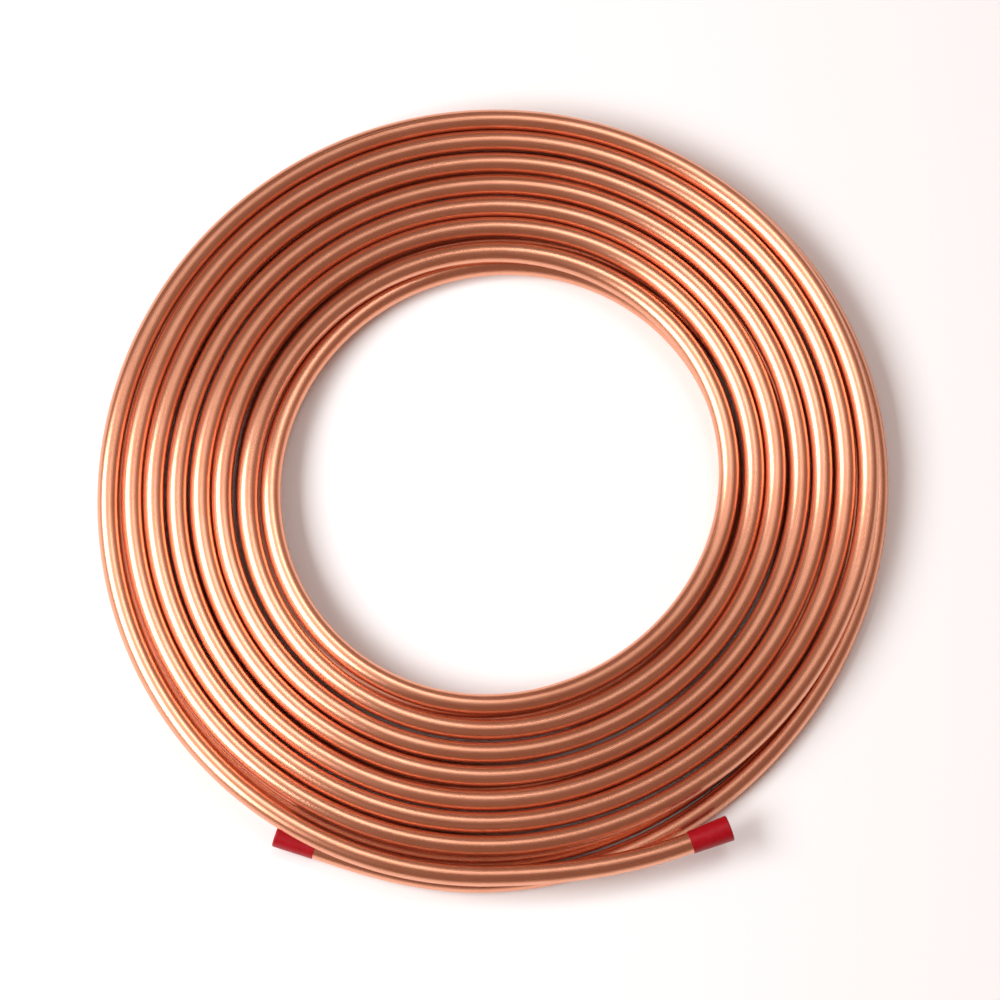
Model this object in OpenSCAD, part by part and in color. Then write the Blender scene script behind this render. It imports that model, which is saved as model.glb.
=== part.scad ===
// Soft copper tube wound into a flat coil of two layers, with a plastic cap pushed on each free end.
// Millimetres, +Z up. The coil lies on its face: its axis is Z and its lowest turns touch z = 0.

/* [Tube] */
// Outside diameter of the tube
tube_od = 12.7; // [8:0.1:16]
// Wall thickness of the tube
tube_wall = 0.81; // [0.6:0.01:1.6]

/* [Coil] */
// Clear diameter through the eye of the coil
eye_d = 262; // [220:1:320]
// Turns side by side in the top layer
turns_top = 8; // [6:1:10]
// Turns side by side in the bottom layer
turns_bottom = 6; // [4:1:7]
// Gap between neighbouring turns of the top layer
turn_gap = 0.4; // [0.2:0.1:2]
// Gap between the two layers
layer_gap = 0.2; // [0.1:0.1:1]
// Thickness of the hidden web that ties the two layers together
web_t = 4; // [3:0.5:6]

/* [Free ends] */
// How far before the front of the coil each free end leaves its outer turn, in degrees
leave_angle = 0; // [-5:1:5]
// How sharply a free end turns away from the coil, in degrees
leave_kick = 9.4; // [8.5:0.1:12]
// Gap that the lift of the free ends leaves between the bottom cap and the floor
cap_floor_gap = 0.1; // [0.05:0.05:0.5]
// How much tighter than the outer turn the top layer's free end is bent, on the radius
top_end_tighter = 3; // [0:0.5:30]
// Bend of the top layer's free end, in degrees
top_end_sweep = 30; // [26:1:34]
// How much tighter than the outer turn the bottom layer's free end is bent, on the radius
bottom_end_tighter = 20; // [0:0.5:30]
// Bend of the bottom layer's free end, in degrees
bottom_end_sweep = 29.3; // [24:0.1:34]
// How much straightening drew in the free ends, on the radius
end_draw = 0.1; // [0.08:0.01:0.2]
// How far the tube cutter drew in each cut end, on the radius
cut_draw = 0.05; // [0.03:0.01:0.1]

/* [End caps] */
// Length of a cap
cap_len = 25; // [18:0.5:40]
// Wall of the cap at its mouth
cap_wall = 0.5; // [0.4:0.05:2]
// How much wider the closed end of the cap is than its mouth, on the diameter
cap_flare = 1.9; // [0:0.1:3]
// Thickness of the closed end of the cap
cap_end_t = 1.5; // [1:0.1:4]
// Rounding of the closed end's edge
cap_round = 1; // [0.4:0.1:2]
// Gap between the cap and the tube inside it
cap_clearance = 0.1; // [0.05:0.05:0.3]

/* [Hidden] */
$fn = 96;

tube_r = tube_od / 2;
bore_r = tube_r - tube_wall;
inner_turn_r = eye_d / 2 + tube_r;
turn_pitch = tube_od + turn_gap;
outer_turn_r = inner_turn_r + (turns_top - 1) * turn_pitch;
top_end_bend_r = outer_turn_r - top_end_tighter;
bottom_end_bend_r = outer_turn_r - bottom_end_tighter;
bottom_pitch = (outer_turn_r - inner_turn_r) / (turns_bottom - 1);
bottom_z = tube_r;
top_z = bottom_z + tube_od + layer_gap;
web_z = (bottom_z + top_z) / 2;
front_angle = -90;
cap_bore_r = tube_r - end_draw + cap_clearance;
cap_mouth_r = cap_bore_r + cap_wall;
cap_end_r = cap_mouth_r + cap_flare / 2;
cap_bore_depth = cap_len - cap_end_t;
tip_len = cap_bore_depth - cap_clearance;
tip_overlap = 1;
end_lift = asin((cap_end_r - tube_r + cap_floor_gap) / (bottom_end_bend_r * sin(bottom_end_sweep)));

copper = "#b8734f";
cap_red = "#c8102e";

// Cross-sections of the turns of one layer, side by side from the inner turn outwards.
module layer_section(turns, pitch, height) {
    for (turn = [0:turns - 1])
        translate([inner_turn_r + turn * pitch, height])
            circle(r = tube_r);
}

// The wound body: both layers and the web between them, turned round the coil's axis.
module wound_turns() {
    rotate_extrude() {
        layer_section(turns_top, turn_pitch, top_z);
        layer_section(turns_bottom, bottom_pitch, bottom_z);
        translate([inner_turn_r, web_z - web_t / 2])
            square([outer_turn_r - inner_turn_r, web_t]);
    }
}

// Places its children where a free end leaves the outer turn: X points out of the coil, Y along the tube.
module at_leave_point(height) {
    rotate(front_angle - leave_angle)
        translate([outer_turn_r, 0, height])
            rotate([end_lift, 0, -leave_kick])
                children();
}

// Places its children at the mouth of the cap, with Z along the tube towards the closed end.
module at_cap_mouth(height, bend_r, sweep) {
    at_leave_point(height)
        translate([-bend_r, 0, 0])
            rotate(sweep)
                translate([bend_r, 0, 0])
                    rotate([-90, 0, 0])
                        children();
}

// A free end of the tube, or its bore: one bend, then the straight tip inside the cap.
module free_end(height, bend_r, sweep, radius, length) {
    at_leave_point(height)
        translate([-bend_r, 0, 0])
            rotate_extrude(angle = sweep)
                translate([bend_r, 0])
                    circle(r = radius - end_draw);
    at_cap_mouth(height, bend_r, sweep)
        translate([0, 0, -tip_overlap])
            cylinder(r = radius - end_draw - cut_draw, h = tip_overlap + length);
}

// Both free ends. The bottom layer was wound the other way, so its end is the mirror image.
module free_ends(radius, length) {
    free_end(top_z, top_end_bend_r, top_end_sweep, radius, length);
    mirror([1, 0, 0])
        free_end(bottom_z, bottom_end_bend_r, bottom_end_sweep, radius, length);
}

module copper_tube() {
    color(copper)
        difference() {
            union() {
                wound_turns();
                free_ends(tube_r, tip_len);
            }
            free_ends(bore_r, tip_len + tip_overlap);
        }
}

// A push-on cap about Z: mouth at z = 0, flaring slightly to a closed end with a rounded edge.
module end_cap() {
    color(cap_red)
        rotate_extrude()
            difference() {
                union() {
                    polygon([
                        [0, 0],
                        [cap_mouth_r, 0],
                        [cap_end_r, cap_len - cap_round],
                        [cap_end_r - cap_round, cap_len],
                        [0, cap_len]
                    ]);
                    translate([cap_end_r - cap_round, cap_len - cap_round])
                        circle(r = cap_round);
                }
                square([cap_bore_r, cap_bore_depth]);
            }
}

module end_cap_top() {
    at_cap_mouth(top_z, top_end_bend_r, top_end_sweep)
        end_cap();
}

module end_cap_bottom() {
    mirror([1, 0, 0])
        at_cap_mouth(bottom_z, bottom_end_bend_r, bottom_end_sweep)
            end_cap();
}

copper_tube();
end_cap_top();
end_cap_bottom();
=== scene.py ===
# %% [markdown]
# # A coil of soft copper tube
#
# A plumber's coil is one long tube, wound inwards as a flat spiral, taken down a layer at the eye,
# and wound outwards again underneath, so that both cut ends come out on the rim.
# This lesson loads the solid model of the coil as a fixed frame, lays the true spiral over it,
# and then gives the copper, the plastic caps and the studio their looks.

import bpy
import numpy as np
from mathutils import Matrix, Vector


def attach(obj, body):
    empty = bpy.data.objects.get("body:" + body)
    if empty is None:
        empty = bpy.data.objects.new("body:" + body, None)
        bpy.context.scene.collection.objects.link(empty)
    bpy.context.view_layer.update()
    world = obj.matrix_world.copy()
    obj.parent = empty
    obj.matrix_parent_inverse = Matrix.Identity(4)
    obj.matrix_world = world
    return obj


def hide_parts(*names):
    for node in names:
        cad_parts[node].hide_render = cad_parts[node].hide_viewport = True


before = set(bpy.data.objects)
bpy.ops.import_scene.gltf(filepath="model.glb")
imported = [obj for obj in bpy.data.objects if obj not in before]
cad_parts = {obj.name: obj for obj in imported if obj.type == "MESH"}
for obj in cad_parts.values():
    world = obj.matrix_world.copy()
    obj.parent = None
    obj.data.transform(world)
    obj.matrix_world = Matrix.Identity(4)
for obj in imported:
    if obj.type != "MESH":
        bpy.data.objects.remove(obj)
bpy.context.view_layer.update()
MM = 0.001

# %% [markdown]
# ## The route of the tube
#
# The solid model has closed rings, because a coil is a turned body there. The real tube has no rings:
# it is one spiral that can be followed from cap to cap. A curve object could carry it, but a route
# worked out with numpy lets each stretch be a plain formula of the number of turns wound so far.
# Turn 0 is at the front of the coil, and the winding runs clockwise seen from above.
# Lengths on the route are in millimetres, and places along it are in turns.

# %% Tube and layers
TUBE_OD = 12.7
TUBE_WALL = 0.81
LAYER_STEP = 12.9
BOTTOM_Z = TUBE_OD / 2
TOP_Z = BOTTOM_Z + LAYER_STEP


def smoothstep(u):
    """Rises from 0 to 1 as u does, level at both ends: 3 u squared minus 2 u cubed."""
    u = np.clip(u, 0, 1)
    return u * u * (3 - 2 * u)


def angle_at(turn):
    """Angle round the coil's axis, in radians: a full circle a turn, clockwise from the front."""
    return -np.pi / 2 - 2 * np.pi * turn


print("centre lines of the two layers:", BOTTOM_Z, "and", TOP_Z, "mm up")

# %% Shape of the whole coil
OVAL = (1.06, 2.66)
CORNERS = (0.56, 0.17)


def out_of_round(turn):
    """A little oval and a little three-cornered, as soft tube is after handling: a cosine and a sine
    of twice the angle, plus a cosine and a sine of three times the angle."""
    angle = angle_at(turn)
    oval = OVAL[0] * np.cos(2 * angle) + OVAL[1] * np.sin(2 * angle)
    corners = CORNERS[0] * np.cos(3 * angle) + CORNERS[1] * np.sin(3 * angle)
    return oval + corners


print("out of round, one value each quarter:", out_of_round(np.arange(4) / 4).round(2), "mm")

# %% Radius of the top spiral
RIM_RADIUS = 230.46
RIM_TURN = 0.25
TOP_PITCH = 13.943
BULGE = 0.77
BULGE_TURNS = 6.75
SLACK = 1.4
SLACK_AT_TURN = 5.56
SLACK_SPREAD = 0.33
TOP_SPRING = 4.0
TOP_SPRING_TURNS = 0.28


def top_radius(turn):
    """Radius of the top spiral: it loses one pitch a turn, bulges a little in the middle of the winding,
    has one slack turn near the eye, and springs outwards just before the free end at turn 0."""
    spiral = RIM_RADIUS - TOP_PITCH * (turn - RIM_TURN)
    bulge = BULGE * np.sin(np.pi * (turn - RIM_TURN) / BULGE_TURNS)
    slack_turn = SLACK * np.exp(-(((turn - SLACK_AT_TURN) / SLACK_SPREAD) ** 2))
    spring_out = TOP_SPRING * (1 - smoothstep(turn / TOP_SPRING_TURNS))
    return spiral + bulge + slack_turn + spring_out


print("top spiral, from the rim to the eye:", top_radius(np.arange(8)).round(1), "mm")

# %% Radius of the bottom spiral
CROSSOVER_TURNS = (7.111, 7.75)
# Measured from straight under the turn above, in radians
TUCK_ANGLE = 0.2
REST_TURNS = 0.2
BOTTOM_LOOSE_PITCH = 20.74
LOOSE_UNTIL_TURN = 11.2
BOTTOM_PITCH = 13.3
LAST_TURN = 13.0
PUSH = 5.6
PUSH_STARTS = 11.82
PUSH_RISE = 0.18
PUSH_EASES = 12.0
PUSH_FALL = 0.3
BOTTOM_SPRING = 6.2
BOTTOM_SPRING_TURNS = 0.194


def bottom_radius(turn):
    """Radius of the bottom spiral: it starts under the top layer's last turn, tucked a little outwards,
    rests there, gains a loose pitch a turn and then a close one, is pushed out once,
    and springs outwards just before the free end."""
    start = CROSSOVER_TURNS[1]
    tuck = LAYER_STEP * np.tan(TUCK_ANGLE)
    loose = np.clip(turn, start + REST_TURNS, LOOSE_UNTIL_TURN) - start - REST_TURNS
    close = np.maximum(turn - LOOSE_UNTIL_TURN, 0)
    spiral = top_radius(start - 1) + tuck + BOTTOM_LOOSE_PITCH * loose + BOTTOM_PITCH * close
    pushed = smoothstep((turn - PUSH_STARTS) / PUSH_RISE)
    eased = smoothstep((turn - PUSH_EASES) / PUSH_FALL)
    sprung = smoothstep((turn - LAST_TURN + BOTTOM_SPRING_TURNS) / BOTTOM_SPRING_TURNS)
    return spiral + PUSH * pushed * (1 - eased) + BOTTOM_SPRING * sprung


print("bottom spiral, from the eye to the rim:", bottom_radius(np.arange(8, 14)).round(1), "mm")

# %% Route of the wound turns
SAMPLES_PER_TURN = 360
END_LIFT = 1.2
END_LIFT_TURNS = 0.3
# Height in millimetres, waves a turn and starting angle of each wave
WOBBLE_WAVES = ((0.25, 1.37, 0.6), (0.15, 3.1, 0.0))
SMOOTHING_SAMPLES = 41


def crossover(turn):
    """Share of the way from the top layer to the bottom one, from 0 to 1."""
    first, last = CROSSOVER_TURNS
    return smoothstep((turn - first) / (last - first))


def wobble(turn):
    """Small unevenness of soft tube: the sum of a few sine waves along the winding."""
    return sum(height * np.sin(2 * np.pi * waves * turn + start) for height, waves, start in WOBBLE_WAVES)


def smoothed(values):
    """Average over a bell-shaped window, with both ends continued in line first so that they stay."""
    window = np.hanning(SMOOTHING_SAMPLES)
    window /= window.sum()
    padded = np.pad(values, SMOOTHING_SAMPLES // 2, mode="reflect", reflect_type="odd")
    return np.convolve(padded, window, mode="valid")


def wound_route():
    """Points of the wound tube: radius times cosine and sine of the angle, and height. In the crossover
    the tube rolls round the turn before it, from beside it to under it and a little past, so the two
    never touch, and it never sinks below its own layer."""
    turn = np.linspace(0, LAST_TURN, int(LAST_TURN * SAMPLES_PER_TURN) + 1)
    share = crossover(turn)
    neighbour = top_radius(turn - 1)
    beside = neighbour - top_radius(turn)
    reach = beside + (LAYER_STEP / np.cos(TUCK_ANGLE) - beside) * share
    roll = share * (np.pi / 2 + TUCK_ANGLE)
    rolled_radius = neighbour - reach * np.cos(roll)
    rolled_height = np.maximum(TOP_Z - reach * np.sin(roll), BOTTOM_Z)
    top_height = TOP_Z + END_LIFT * (1 - smoothstep(turn / END_LIFT_TURNS))
    rolling = turn > CROSSOVER_TURNS[0]
    below = turn > CROSSOVER_TURNS[1]
    radius = np.where(below, bottom_radius(turn), np.where(rolling, rolled_radius, top_radius(turn)))
    height = np.where(below, BOTTOM_Z, np.where(rolling, rolled_height, top_height))
    radius = smoothed(radius + out_of_round(turn) + wobble(turn))
    angle = angle_at(turn)
    return np.stack([radius * np.cos(angle), radius * np.sin(angle), height], axis=1)


route = wound_route()
print("wound turns:", LAST_TURN, "from", route[0].round(1), "to", route[-1].round(1))

# %% [markdown]
# ## The two free ends
#
# Each end leaves the rim in an easy curve and is straight where it goes into its cap.
# A cubic Hermite curve does that, because it takes a point and a direction at each of its ends:
# the wound tube gives one pair and the mouth of the cap gives the other.

# %% Easy curves
EASY_CURVE_POINTS = 160


def unit(vector):
    """The vector divided by its own length."""
    return vector / np.linalg.norm(vector)


def hermite(start, start_direction, end, end_direction):
    """Cubic curve through two points that leaves and arrives in the given directions."""
    reach = np.linalg.norm(end - start)
    t = np.linspace(0, 1, EASY_CURVE_POINTS)[:, None]
    return (
        (2 * t**3 - 3 * t**2 + 1) * start
        + (t**3 - 2 * t**2 + t) * reach * start_direction
        + (3 * t**2 - 2 * t**3) * end
        + (t**3 - t**2) * reach * end_direction
    )


print("points on each easy curve:", EASY_CURVE_POINTS)

# %% Route from cap to cap
# Middle of each cap's mouth, and the cap's direction seen from above, in degrees
TOP_CAP_MOUTH = np.array([116.4, -217.6, 21.0])
TOP_CAP_ANGLE = 20.6
BOTTOM_CAP_MOUTH = np.array([-105.3, -219.4, 7.9])
BOTTOM_CAP_ANGLE = 180 - 19.9
CAP_RISE = 0.0132
TIP_LENGTH = 22.0
TIP_POINTS = 12
ROUTE_POINTS = 2900


def heading(degrees):
    """Unit vector along a cap, with the small rise that keeps the cap off the floor."""
    radians = np.radians(degrees)
    return unit(np.array([np.cos(radians), np.sin(radians), CAP_RISE]))


def full_route(wound):
    """Cap to cap: straight tip, easy curve, wound turns, easy curve, straight tip. The points are then
    spread evenly over the whole length, and their distances from the first cut end come with them."""
    top_out = heading(TOP_CAP_ANGLE)
    bottom_out = heading(BOTTOM_CAP_ANGLE)
    tip = np.linspace(0, TIP_LENGTH, TIP_POINTS)[1:, None]
    top_tip = (TOP_CAP_MOUTH + tip * top_out)[::-1]
    top_curve = hermite(TOP_CAP_MOUTH, -top_out, wound[0], unit(wound[1] - wound[0]))
    bottom_curve = hermite(wound[-1], unit(wound[-1] - wound[-2]), BOTTOM_CAP_MOUTH, bottom_out)
    bottom_tip = BOTTOM_CAP_MOUTH + tip * bottom_out
    points = np.concatenate([top_tip, top_curve[:-1], wound, bottom_curve[1:], bottom_tip])
    steps = np.linalg.norm(np.diff(points, axis=0), axis=1)
    travelled = np.concatenate([[0], np.cumsum(steps)])
    even = np.linspace(0, travelled[-1], ROUTE_POINTS)
    spread = [np.interp(even, travelled, points[:, axis]) for axis in range(3)]
    return np.stack(spread, axis=1), even


centre, along = full_route(route)
print("length of the tube:", round(along[-1] / 1000, 2), "m")

# %% [markdown]
# ## The tube itself
#
# A circle carried along the route makes the tube. A curve with a round bevel would do the same, but a
# grid of points gives a map that follows the metal: one direction round the tube, the other along it,
# both in metres. Drawing lines on copper run along the tube, so the finish needs that map.
# The cut ends sit inside the caps. Each has its real wall and the start of its bore.

# %% Circles along the route
SIDES = 30
BORE_ROWS = 12


def rings_along(path, sides):
    """Unit circles square to the path: cosine of the turn times side plus sine times up."""
    ahead = np.gradient(path, axis=0)
    ahead /= np.linalg.norm(ahead, axis=1)[:, None]
    side = np.cross(ahead, [0.0, 0.0, 1.0])
    side /= np.linalg.norm(side, axis=1)[:, None]
    up = np.cross(side, ahead)
    turn = np.arange(sides) * 2 * np.pi / sides
    return np.cos(turn)[None, :, None] * side[:, None, :] + np.sin(turn)[None, :, None] * up[:, None, :]


def bored_tube(path, sides):
    """Skin of the tube: out along the first bore, over the cut end, along the whole outside,
    and over the other cut end into its bore. Each row is centre plus radius times its circle."""
    last = len(path) - 1
    rows = np.arange(len(path))
    bore = np.arange(BORE_ROWS, -1, -1)
    order = np.concatenate([bore, rows, last - bore[::-1]])
    bore_radii = np.full(len(bore), TUBE_OD / 2 - TUBE_WALL)
    radii = np.concatenate([bore_radii, np.full(len(path), TUBE_OD / 2), bore_radii])
    circles = rings_along(path, sides)
    return path[order][:, None, :] + radii[:, None, None] * circles[order]


wall_points = bored_tube(centre, SIDES)
row_count = len(wall_points)
print("circles along the tube:", row_count, "of", SIDES, "points")

# %% Faces and map of the skin


def grid_faces(rows, columns):
    """Quads of a grid that is closed round its columns, wound so that they face outwards."""
    row, column = np.meshgrid(np.arange(rows - 1), np.arange(columns), indexing="ij")
    after = (column + 1) % columns
    this_row = row * columns
    next_row = this_row + columns
    quads = np.stack([this_row + column, next_row + column, next_row + after, this_row + after], axis=-1)
    return quads.reshape(-1, 4)


def tube_map(rows, columns, length, around):
    """Map of each face corner in metres: round the tube, then along it. The seam gets its own last value."""
    row, column = np.meshgrid(np.arange(rows - 1), np.arange(columns), indexing="ij")
    u = np.stack([column, column, column + 1, column + 1], axis=-1) * around / columns
    v = np.stack([row, row + 1, row + 1, row], axis=-1) * length / (rows - 1)
    return np.stack([u, v], axis=-1).reshape(-1, 2)


row_length = along[1] * MM
bore_floors = [list(range(SIDES)), list(range((row_count - 1) * SIDES, row_count * SIDES))[::-1]]
bore_floor_map = np.zeros((2 * SIDES, 2))
skin_faces = grid_faces(row_count, SIDES).tolist() + bore_floors
skin_map = tube_map(row_count, SIDES, row_count * row_length, np.pi * TUBE_OD * MM)
print("faces of the skin:", len(skin_faces))

# %% Mesh of the tube


def grid_object(name, points, faces, corner_map=None):
    """Put a grid of points and its faces into a smooth mesh object at the origin."""
    mesh = bpy.data.meshes.new(name)
    mesh.from_pydata((points.reshape(-1, 3) * MM).tolist(), [], faces)
    mesh.polygons.foreach_set("use_smooth", np.ones(len(mesh.polygons), dtype=bool))
    if corner_map is not None:
        layer = mesh.uv_layers.new(name="along_tube")
        layer.data.foreach_set("uv", corner_map.astype(np.float32).ravel())
    mesh.update()
    piece = bpy.data.objects.new(name, mesh)
    bpy.context.scene.collection.objects.link(piece)
    return piece


coil_map = np.concatenate([skin_map, bore_floor_map])
coil = grid_object("wound_copper_tube", wall_points, skin_faces, coil_map)
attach(coil, "root")
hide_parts("copper_tube")
print("the tube is", coil.name, "with", len(coil.data.vertices), "points")

# %% [markdown]
# ## Finishes
#
# A colour is easiest to read from a picture as a hex value, but Blender's sockets are linear,
# so one function turns one into the other. A second one adds a node with its settings and links,
# and a third starts a new material.

# %% Colour and node helpers
# A Mix node has several sockets called A, B and Result, so those for colours go by their numbers.
MIX_A = 6
MIX_B = 7
MIX_RESULT = 2


def linear(hex_colour):
    """An sRGB hex colour as linear red, green, blue and full alpha."""
    values = [int(hex_colour[i : i + 2], 16) / 255 for i in (1, 3, 5)]
    return [v / 12.92 if v <= 0.04045 else ((v + 0.055) / 1.055) ** 2.4 for v in values] + [1.0]


def add_node(tree, kind, inputs=None, **settings):
    """Add a node, give it its settings, and set or link its inputs by name or number."""
    node = tree.nodes.new(kind)
    for key, value in settings.items():
        setattr(node, key, value)
    for key, value in (inputs or {}).items():
        if isinstance(value, bpy.types.NodeSocket):
            tree.links.new(value, node.inputs[key])
        else:
            node.inputs[key].default_value = value
    return node


def new_finish(name):
    """A new material with its tree, its Principled shader and nothing else."""
    material = bpy.data.materials.new(name)
    material.use_nodes = True
    return material, material.node_tree, material.node_tree.nodes["Principled BSDF"]


print("middle grey #808080 in linear light:", round(linear("#808080")[0], 3))

# %% [markdown]
# ### Drawn copper
#
# Soft copper tube is drawn through a die and then annealed in a clean furnace. The die leaves fine lines
# along the tube, and the bright skin is a satin mirror: it shows its surroundings, blurred most across
# the drawing lines. Handling leaves slightly browner patches a few centimetres wide.

# %% Drawn copper finish
# Real drawing lines are far finer than a millimetre. They are drawn this coarse so that they show.
DRAWING_LINE_MM = 1.8
# Along the tube a line is 250 times as long as it is wide.
LINE_STRETCH = 0.004
TARNISH_MM = 22.0


def drawn_copper():
    """Bright copper: lines along the tube change its gloss, and broad faint tarnish changes its colour."""
    material, tree, shader = new_finish("drawn_annealed_copper")
    place = add_node(tree, "ShaderNodeUVMap", uv_map="along_tube")
    stretch = add_node(
        tree,
        "ShaderNodeMapping",
        {"Vector": place.outputs["UV"], "Scale": (1.0, LINE_STRETCH, 1.0)},
    )
    lines = add_node(
        tree,
        "ShaderNodeTexNoise",
        {"Vector": stretch.outputs["Vector"], "Scale": 1 / (DRAWING_LINE_MM * MM), "Detail": 1.0},
    )
    where = add_node(tree, "ShaderNodeTexCoord")
    tarnish = add_node(
        tree,
        "ShaderNodeTexNoise",
        {"Vector": where.outputs["Object"], "Scale": 1 / (TARNISH_MM * MM), "Detail": 4.0, "Roughness": 0.6},
    )
    colour = add_node(
        tree,
        "ShaderNodeMix",
        {"Factor": tarnish.outputs["Fac"], MIX_A: linear("#f7b596"), MIX_B: linear("#e79f7d")},
        data_type="RGBA",
    )
    gloss = add_node(
        tree,
        "ShaderNodeMapRange",
        {"Value": lines.outputs["Fac"], "From Min": 0.3, "From Max": 0.7, "To Min": 0.24, "To Max": 0.31},
    )
    across = add_node(tree, "ShaderNodeTangent", direction_type="UV_MAP", uv_map="along_tube")
    shader.inputs["Metallic"].default_value = 1.0
    shader.inputs["Anisotropic"].default_value = 0.65
    tree.links.new(across.outputs["Tangent"], shader.inputs["Tangent"])
    tree.links.new(colour.outputs[MIX_RESULT], shader.inputs["Base Color"])
    tree.links.new(gloss.outputs["Result"], shader.inputs["Roughness"])
    return material


coil.data.materials.append(drawn_copper())
print("finish of the tube:", coil.data.materials[0].name)

# %% [markdown]
# ### Red vinyl caps
#
# The caps are dip-moulded from soft vinyl and pushed over the cut ends to keep the bore clean.
# The vinyl flows a little as it cures, so its skin is faintly uneven and its red is faintly mottled.
# Handled vinyl has a slight bloom, so it shines about half as much as a clean new skin would.
# The solid model's caps have the right shape and stay.

# %% Vinyl finish
VINYL_RIPPLE_MM = 3.5
VINYL_RIPPLE_DEPTH_MM = 0.4


def red_vinyl():
    """Soft red plastic: one noise ripples its skin, mottles its red and varies its gloss."""
    material, tree, shader = new_finish("dip_moulded_red_vinyl")
    where = add_node(tree, "ShaderNodeTexCoord")
    ripple = add_node(
        tree,
        "ShaderNodeTexNoise",
        {"Vector": where.outputs["Object"], "Scale": 1 / (VINYL_RIPPLE_MM * MM), "Detail": 2.0},
    )
    colour = add_node(
        tree,
        "ShaderNodeMix",
        {"Factor": ripple.outputs["Fac"], MIX_A: linear("#94000e"), MIX_B: linear("#aa0a1c")},
        data_type="RGBA",
    )
    gloss = add_node(
        tree,
        "ShaderNodeMapRange",
        {"Value": ripple.outputs["Fac"], "To Min": 0.34, "To Max": 0.5},
    )
    bump = add_node(
        tree,
        "ShaderNodeBump",
        {"Height": ripple.outputs["Fac"], "Strength": 0.25, "Distance": VINYL_RIPPLE_DEPTH_MM * MM},
    )
    shader.inputs["IOR"].default_value = 1.53
    shader.inputs["Specular IOR Level"].default_value = 0.25
    tree.links.new(colour.outputs[MIX_RESULT], shader.inputs["Base Color"])
    tree.links.new(gloss.outputs["Result"], shader.inputs["Roughness"])
    tree.links.new(bump.outputs["Normal"], shader.inputs["Normal"])
    return material


vinyl = red_vinyl()
for cap_name in ("end_cap_top", "end_cap_bottom"):
    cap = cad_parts[cap_name]
    cap.data.materials.clear()
    cap.data.materials.append(vinyl)
    print("finish of", cap_name + ":", vinyl.name)

# %% [markdown]
# ## The studio
#
# Polished metal shows the room more than itself. The turns here carry bright bands at the left and at the
# upper right of the coil and stay darker on the other diagonal, so a large soft box hangs on the left
# and a small one over the back right. A long dim strip under the ceiling draws the paler band along the
# front and back turns. The table is white, and the rest of the room is dim and warm.
# Lamps, table and camera are measured in metres.

# %% Table
TABLE_SIDE = 8.0


def white_table():
    """A flat square at the level the coil lies on, finished as matt white laminate."""
    half = TABLE_SIDE / 2 / MM
    corners = np.array([[-half, -half, 0], [half, -half, 0], [half, half, 0], [-half, half, 0]])
    table = grid_object("table", corners, [[0, 1, 2, 3]])
    material, _, shader = new_finish("matt_white_laminate")
    shader.inputs["Base Color"].default_value = linear("#fafdff")
    shader.inputs["Roughness"].default_value = 0.8
    table.data.materials.append(material)
    return table


table = white_table()
print("finish of the table:", table.data.materials[0].name)

# %% Soft boxes
# The point of the coil that the lamps and the camera face
AIM = Vector((4.0, -11.2, 19.25)) * MM


def soft_box(name, place, width, height, watts):
    """A rectangular area lamp that faces the coil."""
    lamp = bpy.data.lights.new(name, "AREA")
    lamp.shape = "RECTANGLE"
    lamp.size = width
    lamp.size_y = height
    lamp.energy = watts
    holder = bpy.data.objects.new(name, lamp)
    holder.location = place
    holder.rotation_euler = (AIM - Vector(place)).to_track_quat("-Z", "Y").to_euler()
    bpy.context.scene.collection.objects.link(holder)
    print(name, "gives", watts, "W")


soft_box("soft_box_left", place=(-2.0, -0.4, 2.05), width=2.5, height=1.4, watts=94)
soft_box("soft_box_right", place=(0.6, 1.2, 2.7), width=1.1, height=1.0, watts=12)
soft_box("ceiling_strip", place=(0.0, 0.65, 2.6), width=5.0, height=1.3, watts=11)

# %% Room
ROOM_LEVEL = 0.36

world = bpy.data.worlds.new("dim_room")
world.use_nodes = True
room_light = world.node_tree.nodes["Background"]
room_light.inputs["Color"].default_value = linear("#e0b4a2")
room_light.inputs["Strength"].default_value = ROOM_LEVEL
bpy.context.scene.world = world
bpy.context.scene.view_settings.view_transform = "Standard"
print("level of the room:", ROOM_LEVEL)

# %% [markdown]
# ## The camera
#
# The coil is seen from the front, steeply from above and with little perspective, so the camera stands
# well away with a long lens. The lens follows from the width that the picture takes in at the coil:
# sensor width times distance over that width.

# %% Camera
CAMERA_ELEVATION = 78.8
CAMERA_DISTANCE = 2.5
FRAME_WIDTH = 0.6
SENSOR_WIDTH_MM = 36.0

camera = bpy.data.objects.new("camera", bpy.data.cameras.new("camera"))
camera.data.sensor_width = SENSOR_WIDTH_MM
camera.data.lens = SENSOR_WIDTH_MM * CAMERA_DISTANCE / FRAME_WIDTH
tilt = np.radians(CAMERA_ELEVATION)
camera.location = AIM + CAMERA_DISTANCE * Vector((0, -np.cos(tilt), np.sin(tilt)))
camera.rotation_euler = (np.pi / 2 - tilt, 0, 0)
bpy.context.scene.collection.objects.link(camera)
bpy.context.scene.camera = camera
print("camera lens:", round(camera.data.lens, 1), "mm")
